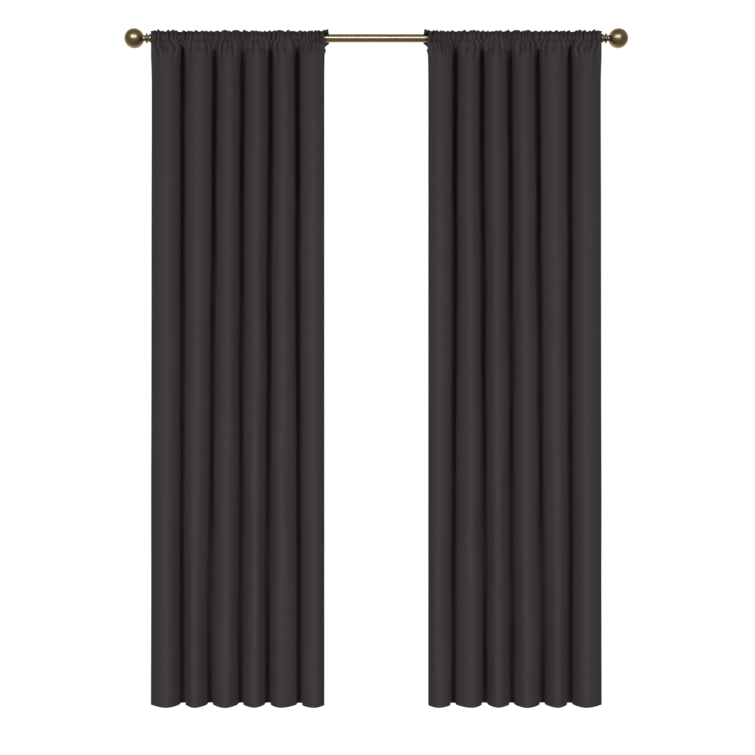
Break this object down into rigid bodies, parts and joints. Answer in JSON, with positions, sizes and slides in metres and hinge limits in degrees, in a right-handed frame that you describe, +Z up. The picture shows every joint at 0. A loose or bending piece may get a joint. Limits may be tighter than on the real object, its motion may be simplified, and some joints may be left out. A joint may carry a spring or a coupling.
{
  "type": "window curtains on a rod",
  "caption": "Rod-pocket window curtain panels in deep folds on a telescoping metal rod with ball finials, held by wall brackets; the panels draw across and the rod lifts out.",
  "frame": {"origin": "on the wall plane, level with the rod's axis, midway between the rod's ends", "axes": "+X along the rod to the right as seen from the room, +Y into the wall, +Z up"},
  "size_m": [1.5926, 0.1256, 2.1403],
  "materials": {
    "antique_brass": "polished",
    "screw_steel": "satin",
    "charcoal_cloth": "matte"
  },
  "bodies": {
    "wall_brackets": {"left_bracket_plate": "antique_brass", "left_bracket_arm": "antique_brass", "right_bracket_plate": "antique_brass", "right_bracket_arm": "antique_brass"},
    "rod": {"outer_tube": "antique_brass", "left_end_cap": "antique_brass", "left_fold_1": "charcoal_cloth", "right_fold_1": "charcoal_cloth"},
    "inner_rod": {"inner_tube": "antique_brass", "right_end_cap": "antique_brass"},
    "left_stud": {"left_stud": "screw_steel"},
    "left_finial": {"left_finial": "antique_brass"},
    "right_stud": {"right_stud": "screw_steel"},
    "right_finial": {"right_finial": "antique_brass"},
    "left_clamp_shank": {"left_clamp_shank": "screw_steel"},
    "left_clamp_knob": {"left_clamp_knob": "antique_brass"},
    "right_clamp_shank": {"right_clamp_shank": "screw_steel"},
    "right_clamp_knob": {"right_clamp_knob": "antique_brass"},
    "left_fold_2": {"left_fold_2": "charcoal_cloth"},
    "left_fold_3": {"left_fold_3": "charcoal_cloth"},
    "left_fold_4": {"left_fold_4": "charcoal_cloth"},
    "left_fold_5": {"left_fold_5": "charcoal_cloth"},
    "left_fold_6": {"left_fold_6": "charcoal_cloth"},
    "right_fold_2": {"right_fold_2": "charcoal_cloth"},
    "right_fold_3": {"right_fold_3": "charcoal_cloth"},
    "right_fold_4": {"right_fold_4": "charcoal_cloth"},
    "right_fold_5": {"right_fold_5": "charcoal_cloth"},
    "right_fold_6": {"right_fold_6": "charcoal_cloth"}
  },
  "joints": [
    {"name": "rod_lift", "type": "slide", "parent": "wall_brackets", "child": "rod", "axis": [0, 0, 1], "range_m": [0, 0.02]},
    {"name": "rod_telescope", "type": "slide", "parent": "rod", "child": "inner_rod", "axis": [1, 0, 0], "range_m": [0, 0.764]},
    {"name": "left_finial_travel", "type": "slide", "parent": "rod", "child": "left_stud", "axis": [-1, 0, 0], "range_m": [0, 0.01]},
    {"name": "left_finial_turn", "type": "hinge", "parent": "left_stud", "child": "left_finial", "pos_m": [-0.7653, -0.089, 0], "axis": [-1, 0, 0], "range_deg": [0, 2880]},
    {"name": "right_finial_travel", "type": "slide", "parent": "inner_rod", "child": "right_stud", "axis": [1, 0, 0], "range_m": [0, 0.01]},
    {"name": "right_finial_turn", "type": "hinge", "parent": "right_stud", "child": "right_finial", "pos_m": [0.7653, -0.089, 0], "axis": [1, 0, 0], "range_deg": [0, 2880]},
    {"name": "left_clamp_travel", "type": "slide", "parent": "wall_brackets", "child": "left_clamp_shank", "axis": [0, 1, 0], "range_m": [0, 0.0032]},
    {"name": "left_clamp_turn", "type": "hinge", "parent": "left_clamp_shank", "child": "left_clamp_knob", "pos_m": [-0.693, -0.058, 0], "axis": [0, 1, 0], "range_deg": [0, 1440]},
    {"name": "right_clamp_travel", "type": "slide", "parent": "wall_brackets", "child": "right_clamp_shank", "axis": [0, 1, 0], "range_m": [0, 0.0032]},
    {"name": "right_clamp_turn", "type": "hinge", "parent": "right_clamp_shank", "child": "right_clamp_knob", "pos_m": [0.693, -0.058, 0], "axis": [0, 1, 0], "range_deg": [0, 1440]},
    {"name": "left_panel_draw", "type": "slide", "parent": "rod", "child": "left_fold_6", "axis": [1, 0, 0], "range_m": [0, 0.145]},
    {"name": "left_fold_2_draw", "type": "slide", "parent": "rod", "child": "left_fold_2", "axis": [1, 0, 0], "range_m": [0, 0.0256]},
    {"name": "left_fold_3_draw", "type": "slide", "parent": "rod", "child": "left_fold_3", "axis": [1, 0, 0], "range_m": [0, 0.0586]},
    {"name": "left_fold_4_draw", "type": "slide", "parent": "rod", "child": "left_fold_4", "axis": [1, 0, 0], "range_m": [0, 0.0928]},
    {"name": "left_fold_5_draw", "type": "slide", "parent": "rod", "child": "left_fold_5", "axis": [1, 0, 0], "range_m": [0, 0.124]},
    {"name": "right_panel_draw", "type": "slide", "parent": "rod", "child": "right_fold_6", "axis": [-1, 0, 0], "range_m": [0, 0.145]},
    {"name": "right_fold_2_draw", "type": "slide", "parent": "rod", "child": "right_fold_2", "axis": [-1, 0, 0], "range_m": [0, 0.0256]},
    {"name": "right_fold_3_draw", "type": "slide", "parent": "rod", "child": "right_fold_3", "axis": [-1, 0, 0], "range_m": [0, 0.0586]},
    {"name": "right_fold_4_draw", "type": "slide", "parent": "rod", "child": "right_fold_4", "axis": [-1, 0, 0], "range_m": [0, 0.0928]},
    {"name": "right_fold_5_draw", "type": "slide", "parent": "rod", "child": "right_fold_5", "axis": [-1, 0, 0], "range_m": [0, 0.124]}
  ],
  "couplings": [
    {"joint": "left_finial_travel", "follows": "left_finial_turn", "m_per_rad": 0.00019894},
    {"joint": "right_finial_travel", "follows": "right_finial_turn", "m_per_rad": 0.00019894},
    {"joint": "left_clamp_travel", "follows": "left_clamp_turn", "m_per_rad": 0.00012732},
    {"joint": "right_clamp_travel", "follows": "right_clamp_turn", "m_per_rad": 0.00012732},
    {"joint": "left_fold_2_draw", "follows": "left_panel_draw", "ratio": 0.1732},
    {"joint": "left_fold_3_draw", "follows": "left_panel_draw", "ratio": 0.401},
    {"joint": "left_fold_4_draw", "follows": "left_panel_draw", "ratio": 0.6368},
    {"joint": "left_fold_5_draw", "follows": "left_panel_draw", "ratio": 0.852},
    {"joint": "right_fold_2_draw", "follows": "right_panel_draw", "ratio": 0.1732},
    {"joint": "right_fold_3_draw", "follows": "right_panel_draw", "ratio": 0.401},
    {"joint": "right_fold_4_draw", "follows": "right_panel_draw", "ratio": 0.6368},
    {"joint": "right_fold_5_draw", "follows": "right_panel_draw", "ratio": 0.852}
  ]
}
